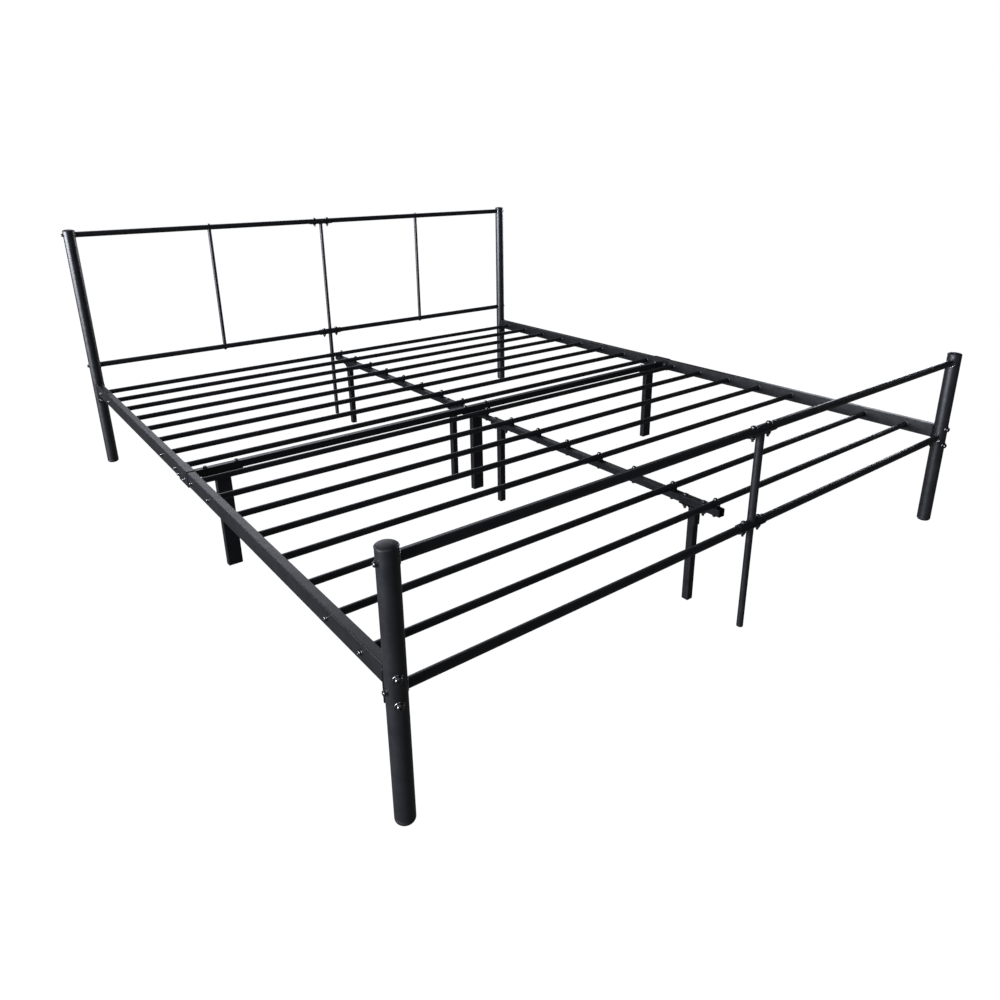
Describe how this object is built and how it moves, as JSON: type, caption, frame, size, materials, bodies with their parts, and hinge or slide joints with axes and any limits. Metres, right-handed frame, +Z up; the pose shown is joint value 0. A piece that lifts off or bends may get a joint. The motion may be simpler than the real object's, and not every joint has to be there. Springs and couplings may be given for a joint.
{
  "type": "metal bed frame",
  "caption": "Black steel bed frame with a low round-tube headboard and footboard, side rails, thin cross slats and a centre beam on legs.",
  "frame": {"origin": "on the floor, under the middle of the bed", "axes": "+X across the bed, +Y from the foot end to the headboard, +Z up"},
  "size_m": [1.909, 2.203, 0.858],
  "materials": {
    "post_coat": "satin black powder coat",
    "board_coat": "satin black powder coat",
    "beam_coat": "fine-textured black powder coat",
    "slat_coat": "satin black powder coat",
    "cap_plastic": "moulded black plastic"
  },
  "bodies": {
    "root": {"foot_post_left": "post_coat", "foot_post_left_top_cap": "cap_plastic", "foot_post_left_floor_cap": "cap_plastic", "foot_post_right": "post_coat", "foot_post_right_top_cap": "cap_plastic", "foot_post_right_floor_cap": "cap_plastic", "head_post_left": "post_coat", "head_post_left_top_cap": "cap_plastic", "head_post_left_floor_cap": "cap_plastic", "head_post_right": "post_coat", "head_post_right_top_cap": "cap_plastic", "head_post_right_floor_cap": "cap_plastic", "headboard_top_rail_left": "board_coat", "headboard_top_rail_right": "board_coat", "headboard_top_sleeve": "board_coat", "headboard_lower_rail_left": "board_coat", "headboard_lower_rail_right": "board_coat", "headboard_lower_sleeve": "board_coat", "headboard_centre_rod": "board_coat", "headboard_centre_leg": "board_coat", "footboard_top_rail_left": "board_coat", "footboard_top_rail_right": "board_coat", "footboard_top_sleeve": "board_coat", "footboard_lower_rail_left": "board_coat", "footboard_lower_rail_right": "board_coat", "footboard_lower_sleeve": "board_coat", "footboard_centre_rod": "board_coat", "footboard_centre_leg": "board_coat", "headboard_side_rod_left": "board_coat", "headboard_side_rod_right": "board_coat", "side_rail_left_foot": "beam_coat", "side_rail_left_head": "beam_coat", "side_rail_right_foot": "beam_coat", "side_rail_right_head": "beam_coat", "slat_01": "slat_coat", "slat_02": "slat_coat", "slat_03": "slat_coat", "slat_04": "slat_coat", "slat_05": "slat_coat", "slat_06": "slat_coat", "slat_07": "slat_coat", "slat_08": "slat_coat", "slat_09": "slat_coat", "slat_10": "slat_coat", "slat_11": "slat_coat", "slat_12": "slat_coat", "slat_13": "slat_coat", "slat_14": "slat_coat", "slat_15": "slat_coat", "slat_16": "slat_coat", "centre_beam_foot": "beam_coat", "centre_beam_head": "beam_coat", "centre_beam_leg_1": "beam_coat", "centre_beam_leg_2": "beam_coat", "centre_beam_leg_3": "beam_coat", "centre_beam_leg_4": "beam_coat", "cross_beam": "beam_coat", "cross_beam_leg_left": "beam_coat", "cross_beam_leg_centre": "beam_coat", "cross_beam_leg_right": "beam_coat"}
  },
  "joints": []
}
